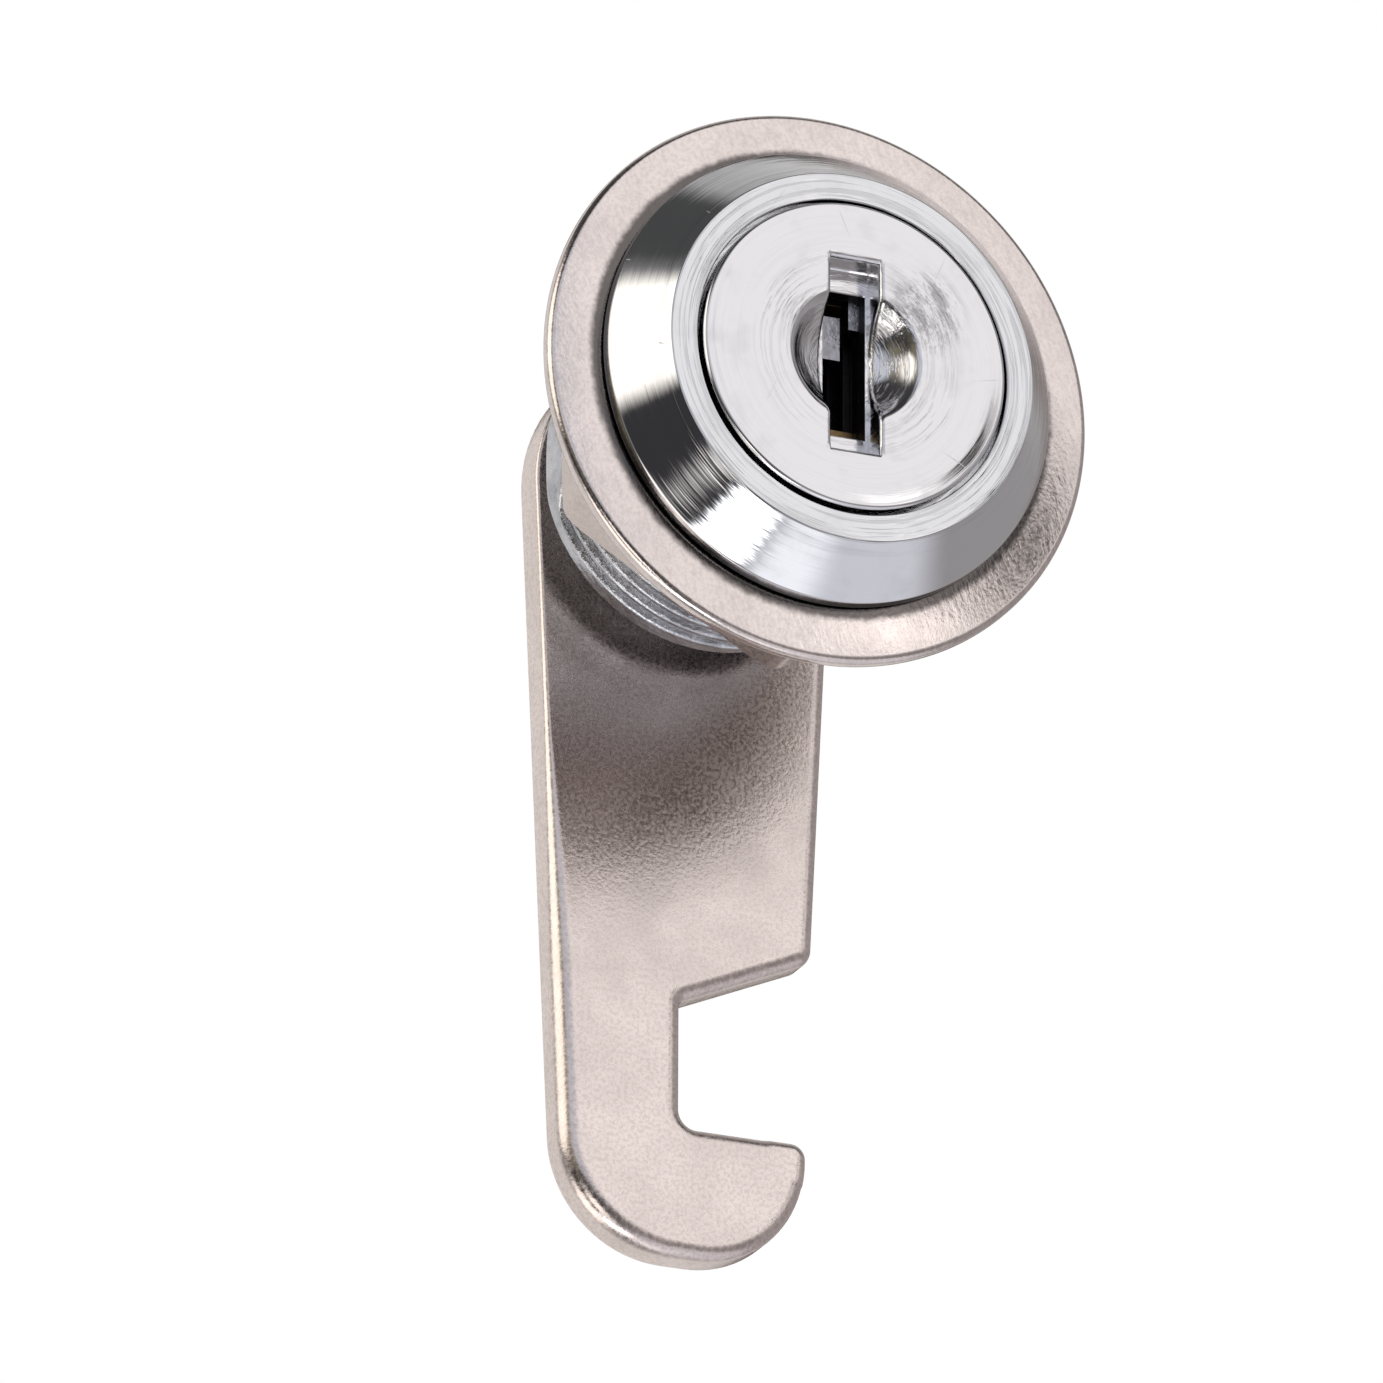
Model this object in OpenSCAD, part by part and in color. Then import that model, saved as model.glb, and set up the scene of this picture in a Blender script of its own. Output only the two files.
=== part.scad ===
// Cam lock. A keyed plug turns a hooked cam a quarter turn behind a door or a lid.
// Millimetres. The lock's axis runs along Y with the face of the lock towards -Y, and +Z is up.
// The origin is on that axis, in the plane where the trim collar seats on the door.

/* [Head] */
// Diameter of the head at its rim
head_d = 22.9; // [21.5:0.1:24]
// Length of the straight rim behind the bevel
head_rim = 0.9; // [0.6:0.1:1.6]
// Length of the bevel along the axis
head_bevel = 2.75; // [2.4:0.05:3.4]
// Diameter of the flat front ring at the top of the bevel
head_face_d = 18.7; // [18:0.1:19.6]

/* [Barrel] */
// Outside diameter of the barrel's thread
barrel_d = 17.8; // [17.6:0.1:18]
// Width across the barrel's two flats
barrel_flats = 16.6; // [16.4:0.1:16.8]
// Length of the barrel behind the door seat
barrel_l = 13; // [13:0.5:16]
// Pitch of the barrel's thread
thread_pitch = 1.0; // [0.75:0.05:1.25]
// Radial depth of the barrel's thread
thread_depth = 0.45; // [0.3:0.05:0.5]

/* [Trim collar] */
// Outside diameter of the trim collar
collar_d = 28; // [27:0.5:34]
// Height of the trim collar, from its door seat to its front
collar_h = 1.45; // [1.45:0.05:2.2]
// How far the collar's front slopes back from the head to its edge
collar_dish = 0.35; // [0.2:0.05:0.35]
// Thickness of the collar's metal
collar_t = 0.8; // [0.6:0.05:0.8]

/* [Mounting nut] */
// Width of the nut across its flats
nut_flats = 21.7; // [21:0.1:24]
// Thickness of the nut
nut_t = 3.5; // [3:0.1:4]
// Gap between the door seat and the nut with no door in place
nut_gap = 1.25; // [0.2:0.05:1.5]

/* [Plug] */
// Diameter of the plug's body
plug_d = 12; // [11.8:0.1:12.2]
// Diameter of the plug's face
face_d = 15.6; // [15:0.1:15.7]
// How far the plug's face stands out of the head
face_proud = 0.35; // [0.1:0.05:0.6]
// Diameter of the round dimple in the plug's face
dimple_d = 6.5; // [5:0.1:7]
// Depth of the dimple
dimple_depth = 1.6; // [0.8:0.1:1.8]
// Width of the key slot at the face
slot_w = 2.5; // [2.3:0.1:2.8]
// Height of the key slot at the face
slot_h = 9.8; // [9.4:0.1:10.4]
// Height of the keyway behind the ledges of the slot
keyway_h = 7.4; // [7.2:0.1:8.6]

/* [Wafers] */
// Number of wafer tumblers
wafer_count = 5; // [3:1:5]
// Thickness of a wafer
wafer_t = 1.0; // [0.8:0.1:1]
// Width of a wafer
wafer_w = 5.4; // [5:0.1:5.6]
// Distance from one wafer to the next
wafer_pitch = 1.9; // [1.8:0.05:1.9]
// How far a wafer springs out of the plug
wafer_lift = 0.75; // [0.5:0.05:0.75]

/* [Cam] */
// Thickness of the cam
cam_t = 2.15; // [2:0.05:3]
// Distance from the lock's axis to the end of the hook
cam_reach = 38.9; // [36:0.1:50]
// Half width of the cam at the lock's axis
cam_half = 7.9; // [7.5:0.1:8.5]
// Height of the mouth between the shoulder and the hook
notch_h = 9.4; // [8:0.1:10]

/* [Hidden] */
$fn = 96;

// cutters run this far past the faces that they cut
past = 1;
// running clearance of the plug in its bore and of the nut on the barrel, on the radius
run_gap = 0.05;

// places along the axis
collar_front = -collar_h;
bevel_back = collar_front - head_rim;
head_front = bevel_back - head_bevel;
face_y = head_front - face_proud;
thread_start = 0.55;
band_l = 1.4;
band_r = 8.5;
thread_turns = floor((barrel_l - thread_start - band_l) / thread_pitch);
nut_back = nut_gap + nut_t;

// the head's counterbore, which holds the plug's face
seat_r = 8;
seat_y = head_front + 1.95;
seat_chamfer = 0.15;

// the barrel's bore, its four wafer channels and its retaining groove
bore_r = plug_d / 2 + run_gap;
channel_w = wafer_w + 0.4;
channel_reach = plug_d / 2 + wafer_lift + 0.15;
channel_start = seat_y - 0.5;
channel_end = 7.2;
groove_r = plug_d / 2 + 1.05;
groove_w = 1.2;

// the quarter-turn stop: two lugs on the barrel's end and the tab between them
lug_in_r = 6.7;
lug_out_r = 8;
lug_h = 1.5;
lug_sweep = 44;
tab_sweep = 30;
tab_play = 1.5;
turn = 90;

// the plug
face_chamfer = 0.3;
face_back = seat_y - 0.1;
slot_depth = 1.5;
keyway_w = 2.2;
keyway_end = 7;
// two ribs along the keyway: a deep one on the left and a shallow one at the top right
left_ward = [1.2, 2.2];
left_ward_z = 1.6;
right_ward = [0.55, 1.5];
ward_start = 0.4;
tail_flats = 7.2;
tail_round_r = 4.7;
tail_gap = 0.05;
// the cam's hole is looser, and the cam is clamped a little off centre in it
cam_gap = 0.2;
cam_shift = [-0.15, 0.15];
plug_back = barrel_l - 0.05;

// the wafers, the first one nearest the face
wafer_gap = 0.1;
wafer_r = plug_d / 2 - 0.05;
first_wafer = -1.9;
window_w = 2.9;
window_h = 6.4;
// how far each wafer's window is off centre, which sets the key's cuts
bitting = [0.5, -0.2, 0.3, -0.6, 0.1];

// the side tab of a wafer and the coil spring under it
wing_reach = 4.1;
wing_h = 1.2;
wing_low = -0.4;
spring_x = 3.4;
spring_r = 0.4;
spring_wire = 0.11;
spring_foot = -3.3;
spring_pocket_r = 0.6;
spring_turns = 5;

// the retaining wafer, which slides up from the groove under the plug
retain_y = 8.6;
retain_w = 3.9;
retain_out = 0.9;
retain_top = -2.6;
retain_travel = 0.95;
retain_spring_top = 2.3;

// the cam and what holds it on the plug's square tail
stop_y = barrel_l + 0.1;
stop_t = 1.7;
stop_r = 6.4;
cam_y = stop_y + stop_t;
cam_back = cam_y + cam_t;
tail_back = cam_back - 0.3;
washer_t = 0.8;
washer_r = 5.5;
split_t = 0.9;
split_r = 3.7;
split_gap = 0.7;
screw_r = 1.95;
screw_l = 8;
screw_head_r = 3.8;
screw_crown = 1.1;
screw_head_h = 2.4;
recess_l = 4.2;
recess_w = 0.9;
recess_depth = 1.4;
screw_y = cam_back + washer_t + split_t;
hole_r = 2.15;
screw_hole_end = screw_y - screw_l - 0.4;

// the cam's outline: two edges that taper towards the hook, and the notch with its mouth at +X
cam_taper = 0.048;
cam_round = 7.8;
hook_left_round = 5.9;
hook_right_round = 5.7;
notch_x = -0.05;
notch_floor = -cam_reach + 6.6;
shoulder_z = notch_floor + notch_h;
shoulder_drop = 3;
shoulder_round = 1;
floor_round = 0.9;
lip_round = 0.4;
tip_round = 0.8;
tip_x = 6.5;

chrome = [0.86, 0.87, 0.89];
satin = [0.76, 0.73, 0.69];
brass = [0.80, 0.66, 0.36];
steel = [0.62, 0.63, 0.65];

// ---- shapes shared by several pieces ----

// Turns an outline about the lock's axis: the outline's x is the radius, its y is Y
module turned() rotate([-90, 0, 0]) rotate_extrude() children();

// A round hole or rod along the lock's axis, from y0 to y1
module rod(r, y0, y1) translate([0, y0, 0]) rotate([-90, 0, 0]) cylinder(r = r, h = y1 - y0);

// A plate across the axis, from y0 to y1, whose outline is drawn as x and z
module plate(y0, y1) translate([0, y1, 0]) rotate([90, 0, 0]) linear_extrude(y1 - y0) children();

// A block centred on x and z, from y0 to y1
module block(w, h, y0, y1) plate(y0, y1) square([w, h], center = true);

// A sector of a ring, whose middle is at the angle mid from +X, turning towards +Z
module sector(r_in, r_out, mid, sweep) {
    steps = 8;
    turn_to = function (r, i) r * [cos(mid + sweep * i), sin(mid + sweep * i)];
    intersection() {
        difference() {
            circle(r = r_out);
            circle(r = r_in);
        }
        polygon(concat([[0, 0]], [for (i = [0 : steps]) turn_to(2 * r_out, i / steps - 0.5)]));
    }
}

// A square with its corners turned down to a circle, as on the plug's tail
module tail_outline(gap) intersection() {
    square(tail_flats + 2 * gap, center = true);
    circle(r = tail_round_r + gap);
}

// Thread ridges as points of radius and Y, from y0 backwards, one ridge to each pitch
function ridges(r, depth, pitch, y0, count) = [
    for (i = [0 : count - 1], p = [[depth, 0.1], [0, 0.4], [0, 0.6], [depth, 0.9]])
        [r - p[0], y0 + (i + p[1]) * pitch]
];

function unit(v) = v / norm(v);

// The arc that rounds corner p, between its neighbours a and b, with radius r
function corner(a, p, b, r) =
    let (
        u = unit(a - p),
        v = unit(b - p),
        half = acos(u * v) / 2,
        centre = p + unit(u + v) * r / sin(half),
        from = p + u * r / tan(half) - centre,
        to = p + v * r / tan(half) - centre,
        start = atan2(from[1], from[0]),
        swing = atan2(cross(from, to), from * to),
        steps = ceil(abs(swing) / (r > 3 ? 6 : 15))
    )
    [for (i = [0 : steps]) centre + r * [cos(start + swing * i / steps),
                                        sin(start + swing * i / steps)]];

// A closed outline with round corners; each corner is [x, z, radius]
function rounded(list) =
    let (n = len(list), at = function (i) [list[(i + n) % n][0], list[(i + n) % n][1]])
    [for (i = [0 : n - 1]) each corner(at(i - 1), at(i), at(i + 1), list[i][2])];

// A coil spring standing on the XY plane, as a tube swept along its helix
module coil(r, wire, height, turns) {
    per_turn = 10;
    sides = 6;
    rings = per_turn * turns;
    points = [
        for (i = [0 : rings], j = [0 : sides - 1])
            let (a = 360 * i / per_turn, b = 360 * j / sides, radius = r + wire * cos(b))
            [radius * cos(a), radius * sin(a),
             wire + (height - 2 * wire) * i / rings + wire * sin(b)]
    ];
    walls = [
        for (i = [0 : rings - 1], j = [0 : sides - 1])
            let (k = (j + 1) % sides, low = i * sides, high = low + sides)
            [low + j, high + j, high + k, low + k]
    ];
    first = [for (j = [0 : sides - 1]) j];
    last = [for (j = [sides - 1 : -1 : 0]) rings * sides + j];
    polyhedron(points, concat(walls, [first], [last]), convexity = 10);
}

// ---- the housing and what stays with it ----

module head_shape() turned() polygon([
    [0, head_front],
    [head_face_d / 2, head_front],
    [head_d / 2, bevel_back],
    [head_d / 2, collar_front],
    [0, collar_front]
]);

module barrel_shape() {
    root_r = barrel_d / 2 - thread_depth;
    end_chamfer = 0.2;
    intersection() {
        turned() polygon(concat(
            [[0, collar_front], [barrel_d / 2, collar_front], [barrel_d / 2, thread_start - 0.1],
             [root_r, thread_start]],
            ridges(barrel_d / 2, thread_depth, thread_pitch, thread_start, thread_turns),
            [[band_r, barrel_l - band_l], [band_r, barrel_l - end_chamfer],
             [band_r - end_chamfer, barrel_l], [0, barrel_l]]
        ));
        block(barrel_flats, 2 * barrel_d, collar_front - past, barrel_l + past);
    }
}

// The tab rests at +X and turns towards +Z, and a lug stands just past each end of its turn
module stop_lugs() {
    clear = tab_sweep / 2 + tab_play + lug_sweep / 2;
    for (mid = [-clear, turn + clear])
        plate(barrel_l - 0.5, barrel_l + lug_h) sector(lug_in_r, lug_out_r, mid, lug_sweep);
}

module housing() color(chrome) difference() {
    union() {
        head_shape();
        barrel_shape();
        stop_lugs();
    }
    turned() polygon([
        [0, head_front - past],
        [seat_r + seat_chamfer + past, head_front - past],
        [seat_r, head_front + seat_chamfer],
        [seat_r, seat_y],
        [bore_r, seat_y],
        [bore_r, barrel_l + past],
        [0, barrel_l + past]
    ]);
    rod(groove_r, retain_y - groove_w / 2, retain_y + groove_w / 2);
    block(channel_w, 2 * channel_reach, channel_start, channel_end);
    block(2 * channel_reach, channel_w, channel_start, channel_end);
}

// A dished ring: it slopes back from the head to a round lip that seats on the door
module trim_collar() color(satin) {
    hole_edge = barrel_d / 2 + 0.2;
    lip_r = collar_d / 2;
    lip_front = collar_front + collar_dish;
    skirt_r = lip_r - 1.4;
    bend = 2;
    front_edge = 0.4;
    back_edge = 0.58;
    corner_edge = 0.1;
    turned() polygon(rounded([
        [hole_edge, collar_front, corner_edge],
        [head_d / 2, collar_front, bend],
        [lip_r, lip_front, front_edge],
        [lip_r, 0, back_edge],
        [skirt_r, 0, corner_edge],
        [skirt_r, lip_front + collar_t, corner_edge],
        [head_d / 2, collar_front + collar_t, bend],
        [hole_edge, collar_front + collar_t, corner_edge]
    ]));
}

module mounting_nut() color(satin) {
    thread_r = barrel_d / 2 + run_gap;
    corner_r = nut_flats / 2 / cos(30);
    front_r = nut_flats / 2 + 0.6;
    back_r = nut_flats / 2 + 1.2;
    slope = 0.6;
    lead = 0.4;
    difference() {
        intersection() {
            plate(nut_gap, nut_back) rotate(30) circle(r = corner_r, $fn = 6);
            turned() polygon([
                [0, nut_gap],
                [front_r, nut_gap],
                [corner_r + past, nut_gap + slope],
                [corner_r + past, nut_back - slope],
                [back_r, nut_back],
                [0, nut_back]
            ]);
        }
        turned() polygon([
            [0, nut_gap - past],
            [thread_r + lead + past, nut_gap - past],
            [thread_r, nut_gap + lead],
            [thread_r, nut_back - lead],
            [thread_r + lead + past, nut_back + past],
            [0, nut_back + past]
        ]);
    }
}

// ---- the plug ----

module plug_body() turned() polygon([
    [0, face_y],
    [face_d / 2 - face_chamfer, face_y],
    [face_d / 2, face_y + face_chamfer],
    [face_d / 2, face_back],
    [plug_d / 2, face_back],
    [plug_d / 2, plug_back],
    [0, plug_back]
]);

module dimple() {
    ball_r = (pow(dimple_d / 2, 2) + pow(dimple_depth, 2)) / (2 * dimple_depth);
    translate([0, face_y + dimple_depth - ball_r, 0]) sphere(r = ball_r);
}

module keyway() difference() {
    union() {
        block(slot_w, slot_h, face_y - past, face_y + slot_depth);
        block(keyway_w, keyway_h, face_y, keyway_end);
    }
    plate(face_y + slot_depth + ward_start, keyway_end + past)
        translate([-keyway_w / 2 - past, left_ward_z - left_ward[1] / 2])
            square(left_ward + [past, 0]);
    plate(face_y + slot_depth + ward_start, keyway_end + past)
        translate([keyway_w / 2 - right_ward[0], keyway_h / 2 - right_ward[1]])
            square(right_ward + [past, past]);
}

// The slot across the plug for one wafer, with the pocket of its spring
module wafer_slot() {
    gap = wafer_t + wafer_gap;
    block(wafer_w + 2 * wafer_gap, plug_d + past, -gap / 2, gap / 2);
    plate(-gap / 2, gap / 2)
        translate([0, wing_low - wafer_gap]) square([wing_reach + 2 * wafer_gap, plug_d / 2]);
    translate([spring_x, 0, spring_foot - wafer_gap])
        cylinder(r = spring_pocket_r, h = wing_low - spring_foot + 2 * wafer_gap);
}

// Moves a piece to the place of wafer i; every second wafer faces down
module at_wafer(i) translate([0, first_wafer + (i - 1) * wafer_pitch, 0])
    mirror([0, 0, (i - 1) % 2]) children();

module retaining_slot() {
    gap = wafer_t + wafer_gap;
    top = retain_top + retain_travel + wafer_gap;
    translate([0, retain_y, 0]) {
        plate(-gap / 2, gap / 2) translate([-retain_w / 2 - wafer_gap, -plug_d / 2 - past])
            square([retain_w + 2 * wafer_gap, top + plug_d / 2 + past]);
        translate([0, 0, top - wafer_gap])
            cylinder(r = spring_pocket_r, h = retain_spring_top + wafer_gap - top + wafer_gap);
    }
}

module plug() color(chrome) {
    difference() {
        union() {
            plug_body();
            plate(plug_back - past, tail_back) tail_outline(0);
        }
        dimple();
        keyway();
        for (i = [1 : wafer_count]) at_wafer(i) wafer_slot();
        retaining_slot();
        rod(screw_r + run_gap, screw_hole_end, tail_back + past);
    }
}

module wafer(i) color(brass) at_wafer(i) {
    side = (i - 1) % 2 == 0 ? 1 : -1;
    plate(-wafer_t / 2, wafer_t / 2) difference() {
        union() {
            intersection() {
                circle(r = wafer_r);
                square([wafer_w, plug_d], center = true);
            }
            translate([0, wing_low]) square([wing_reach, wing_h]);
        }
        translate([0, side * bitting[i - 1]]) square([window_w, window_h], center = true);
    }
}

module wafer_spring(i) color(steel) at_wafer(i)
    translate([spring_x, 0, spring_foot])
        coil(spring_r, spring_wire, wing_low - spring_foot - 0.05, spring_turns);

module retaining_wafer() color(brass) translate([0, retain_y, 0])
    plate(-wafer_t / 2, wafer_t / 2) intersection() {
        circle(r = plug_d / 2 + retain_out);
        translate([-retain_w / 2, -plug_d]) square([retain_w, plug_d + retain_top]);
    }

module retaining_spring() color(steel) translate([0, retain_y, retain_top + 0.05])
    coil(spring_r, spring_wire, retain_spring_top - retain_top - 0.1, spring_turns + 2);

// ---- the cam and its fastening ----

module stop_washer() color(steel) plate(stop_y, cam_y) difference() {
    union() {
        circle(r = stop_r);
        sector(stop_r - 0.5, lug_out_r - 0.1, 0, tab_sweep);
    }
    tail_outline(tail_gap);
}

function cam_edge(z) = cam_half + cam_taper * z;

module cam() color(satin) plate(cam_y, cam_back) difference() {
    translate(cam_shift) polygon(rounded([
        [cam_edge(cam_round), cam_round, cam_round],
        [-cam_edge(cam_round), cam_round, cam_round],
        [-cam_edge(-cam_reach), -cam_reach, hook_left_round],
        [tip_x, -cam_reach, hook_right_round],
        [tip_x, notch_floor, tip_round],
        [notch_x, notch_floor, floor_round],
        [notch_x, shoulder_z - shoulder_drop, lip_round],
        [cam_edge(shoulder_z), shoulder_z, shoulder_round]
    ]));
    tail_outline(cam_gap);
}

module cam_washer() color(steel) plate(cam_back, cam_back + washer_t) difference() {
    circle(r = washer_r);
    circle(r = hole_r);
}

module lock_washer() color(steel) plate(cam_back + washer_t, screw_y) difference() {
    circle(r = split_r);
    circle(r = hole_r);
    rotate(20) translate([split_gap, 0]) square([split_gap, 2 * split_r]);
}

module cam_screw() color(steel) {
    pitch = 0.7;
    depth = 0.35;
    turns = floor((screw_l - 1) / pitch);
    screw_top = screw_y + screw_head_h;
    crown_at = [screw_head_r - screw_crown, screw_top - screw_crown];
    difference() {
        turned() polygon(concat(
            [[0, screw_y - screw_l], [screw_r - 2 * depth, screw_y - screw_l]],
            ridges(screw_r, depth, pitch, screw_y - screw_l + 0.3, turns),
            [[screw_r, screw_y], [screw_head_r, screw_y]],
            [for (a = [0 : 15 : 90]) crown_at + screw_crown * [cos(a), sin(a)]],
            [[0, screw_top]]
        ));
        for (a = [0, 90]) rotate([0, a, 0])
            block(recess_l, recess_w, screw_top - recess_depth, screw_top + past);
    }
}

housing();
trim_collar();
mounting_nut();
plug();
for (i = [1 : wafer_count]) wafer(i);
for (i = [1 : wafer_count]) wafer_spring(i);
retaining_wafer();
retaining_spring();
stop_washer();
cam();
cam_washer();
lock_washer();
cam_screw();
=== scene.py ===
"""Cam lock: detailed pieces, finishes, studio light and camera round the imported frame.

Lengths are millimetres until a mesh is made. The lock's axis is Y, its face looks along -Y, and
angles run from +X towards +Z.
"""

import math

import bmesh
import bpy
import numpy as np
from mathutils import Matrix, Vector


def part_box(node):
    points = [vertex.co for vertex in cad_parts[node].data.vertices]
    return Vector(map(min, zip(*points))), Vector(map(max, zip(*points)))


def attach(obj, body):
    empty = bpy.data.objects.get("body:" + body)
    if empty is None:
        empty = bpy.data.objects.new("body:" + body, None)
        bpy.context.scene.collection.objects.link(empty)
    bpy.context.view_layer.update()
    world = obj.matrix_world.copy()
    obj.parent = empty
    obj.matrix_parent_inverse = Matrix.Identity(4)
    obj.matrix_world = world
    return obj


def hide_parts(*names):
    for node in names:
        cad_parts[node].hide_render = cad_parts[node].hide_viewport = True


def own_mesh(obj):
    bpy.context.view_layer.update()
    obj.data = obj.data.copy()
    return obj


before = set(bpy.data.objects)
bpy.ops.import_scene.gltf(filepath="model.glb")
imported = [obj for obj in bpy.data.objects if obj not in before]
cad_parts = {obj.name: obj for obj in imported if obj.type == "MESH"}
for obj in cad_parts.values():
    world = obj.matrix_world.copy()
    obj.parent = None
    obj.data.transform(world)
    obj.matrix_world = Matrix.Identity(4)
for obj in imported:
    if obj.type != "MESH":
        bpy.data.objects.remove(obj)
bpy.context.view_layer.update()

MM = 0.001
SHARP = math.radians(38)


def low(node, axis):
    """The lowest place of a CAD node along an axis, in millimetres."""
    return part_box(node)[0]["xyz".index(axis)] / MM


def high(node, axis):
    """The highest place of a CAD node along an axis, in millimetres."""
    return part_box(node)[1]["xyz".index(axis)] / MM


# ---- sizes, in millimetres; a pair on an axis is (front, back) ----

# the radii of a broken edge and of a nearly sharp one
BROKEN = 0.1
CRISP = 0.05
# keeps apart two rings of points that a wall steps straight out between
HAIR = 0.001
# the longest stretch between the points of a large skin or outline
STEP = 0.35
QUARTER = math.radians(90)

HEAD_FRONT = low("housing", "y")
HEAD_R = high("housing", "x")
HEAD_FACE_R = HEAD_R - 2.1
HEAD_BEVEL = 2.75
HEAD_EDGE = 0.14
BEVEL_EDGE = 0.22
UNDERCUT = 0.22
UNDERCUT_IN = 0.5
SEAT_R = 8.0
SEAT_Y = HEAD_FRONT + 1.95

COLLAR_FRONT = low("trim_collar", "y")
COLLAR_R = high("trim_collar", "z")
COLLAR_DISH = 0.35
COLLAR_T = 0.8
COLLAR_SKIRT = 1.4
COLLAR_BEND = 2
# the radii of the lip's front and back edges
COLLAR_EDGES = (0.4, 0.58)

LUG_R = (6.7, 8.0)
LUG_H = 1.5
# the share of a lug's height where its broken edge starts
LUG_WALL = 0.93
LUG_SPANS = ((-60.5, -16.5), (106.5, 150.5))
BARREL_R = 8.9
BARREL_FLAT = 8.3
FLAT_BLEND = 0.12
# the least cosine to divide by, where an angle runs along the flats
FLATS_LEAST = 0.2
BARREL_END = high("housing", "y") - LUG_H
BARREL_EDGE = 0.3
THREAD_PITCH = 1.0
THREAD_DEPTH = 0.45
THREAD_ROOT = 0.12
THREAD_FLANK = 0.7
THREAD_START = 0.55
THREAD_RUN_IN = 0.6
THREAD_RUN_OUT = 0.25
THREAD_STEP = 0.05
BAND_R = 8.5
BAND_START = BARREL_END - 1.4
BORE_R = 6.05
BORE_EDGE = 0.15
CHANNEL_W = 2.9
CHANNEL_REACH = 6.9
CHANNEL_MIDDLE = 2.0
CHANNEL_END = 7.2
GROOVE_R = 7.05
GROOVE = (8.0, 9.2)

FACE_Y = low("plug", "y")
FACE_R = high("plug", "x")
FACE_BACK = SEAT_Y - 0.1
FACE_ROUND = 0.22
# near its edge the face falls away by FACE_FALL, over FALL_WIDTH from FALL_IN inside the edge
FACE_FALL = 0.07
FALL_IN = 1
FALL_WIDTH = 0.7
DIMPLE_R = 3.25
DIMPLE_DEPTH = 1.6
DIMPLE_BLEND = 0.35
DIMPLE_RIM = 0.4
SLOT = (1.25, 4.9)
SLOT_DEPTH = 1.5
SLOT_ROUND = 0.28
KEYWAY = (1.1, 3.7)
KEYWAY_WALL = 0.6
# the rings of points between the face's edge and the slot's lip, in four stretches
FACE_RINGS = (7, 6, 12, 14)
LIP_RINGS = 7

NUT_FLATS = high("mounting_nut", "x")
NUT = (low("mounting_nut", "y"), high("mounting_nut", "y"))
NUT_CORNER = 0.12
# at each face the nut's corners are cut by a cone: how far out it starts, and its slope
NUT_CONES = ((0.6, 3.3), (1.2, 2.4))
NUT_BORE_EDGE = 0.08
NUT_BORE_CHAMFER = 0.4

CAM = (low("cam", "y"), high("cam", "y"))
CAM_LOW = low("cam", "z")
CAM_SHIFT = (-0.15, 0.15)
CAM_HALF = 7.9
CAM_TAPER = 0.048
CAM_TOP = 7.8
CAM_NOTCH = 9.4
HOOK_H = 6.6
HOOK_TIP = 6.5
NOTCH_END = -0.05
# how wide the front edge is rolled: on the left at the cam's foot and at each of the heights,
# on the right, and at the hook's tip; then the back edge
ROLL_HEIGHTS = (-24, -13, -4)
ROLL_LEFT = (0.95, 0.92, 0.36, 0.2)
ROLL_RIGHT = 0.76
ROLL_TIP = 0.62
ROLL_BACK = 0.28
TAIL = 3.6
TAIL_ROUND = 4.7
CAM_GAP = 0.2
PLATE_STEPS = 10
PLATE_HOLE_ROUND = 0.12

HOLE_R = 2.15
WASHER = (low("cam_washer", "y"), high("cam_washer", "y"))
WASHER_R = 5.5
SPLIT = (low("lock_washer", "y"), high("lock_washer", "y"))
SPLIT_R = (HOLE_R + 0.02, 3.68)
SPLIT_THICK = 0.86
SPLIT_TURN = (math.radians(95), math.radians(438))
SPLIT_STEPS = 160
SCREW = (low("cam_screw", "y"), high("cam_screw", "y"))
SCREW_R = 1.95
SCREW_CREST = SCREW_R - 0.02
SCREW_NECK = 0.3
SCREW_PITCH = 0.7
SCREW_DEPTH = 0.4
SCREW_HEAD_R = 3.78
SCREW_CROWN = 1.1
CROSS_START = 2.55
CROSS_HALF = 0.45
CROSS_REACH = 2.15
CROSS_WALL = 0.07
CROSS_CENTRE = 1.25
CROSS_DEPTH = 1.35
CROSS_RISE = 0.28

WIRE_R = 0.11
COIL_STEPS = 28
COIL_SIDES = 10
# the share of a coil's length, at either end, where it lies flat
COIL_FLAT = 0.08


# ---- outlines ----

def unit(v):
    """A vector of the same direction and length 1."""
    return v / np.linalg.norm(v)


def arc_corner(a, p, b, r, steps):
    """The arc that rounds corner p, between its neighbours a and b, with radius r."""
    a, p, b = (np.array(q[:2], float) for q in (a, p, b))
    if r <= 0:
        return [p]
    u, v = unit(a - p), unit(b - p)
    half = math.acos(float(u @ v)) / 2
    centre = p + unit(u + v) * r / math.sin(half)
    start, end = p + u * r / math.tan(half) - centre, p + v * r / math.tan(half) - centre
    begin = math.atan2(start[1], start[0])
    swing = math.atan2(start[0] * end[1] - start[1] * end[0], float(start @ end))
    count = max(1, math.ceil(abs(swing) / steps))
    turns = [begin + swing * i / count for i in range(count + 1)]
    return [centre + r * np.array([math.cos(t), math.sin(t)]) for t in turns]


def rounded(corners, steps=math.radians(10), closed=False):
    """An outline with round corners, from (x, y, radius) corners."""
    n = len(corners)
    points = []
    for i, c in enumerate(corners):
        if not closed and i in (0, n - 1):
            points.append(np.array(c[:2], float))
        else:
            points += arc_corner(corners[i - 1], c, corners[(i + 1) % n], c[2], steps)
    return np.array(points)


def smooth_max(a, b, k):
    """The larger of a and b, blended over k where they cross."""
    h = np.maximum(k - np.abs(a - b), 0) / k
    return np.maximum(a, b) + h * h * k / 4


def smooth_min(a, b, k):
    """The smaller of a and b, blended over k where they cross."""
    return -smooth_max(-a, -b, k)


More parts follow.
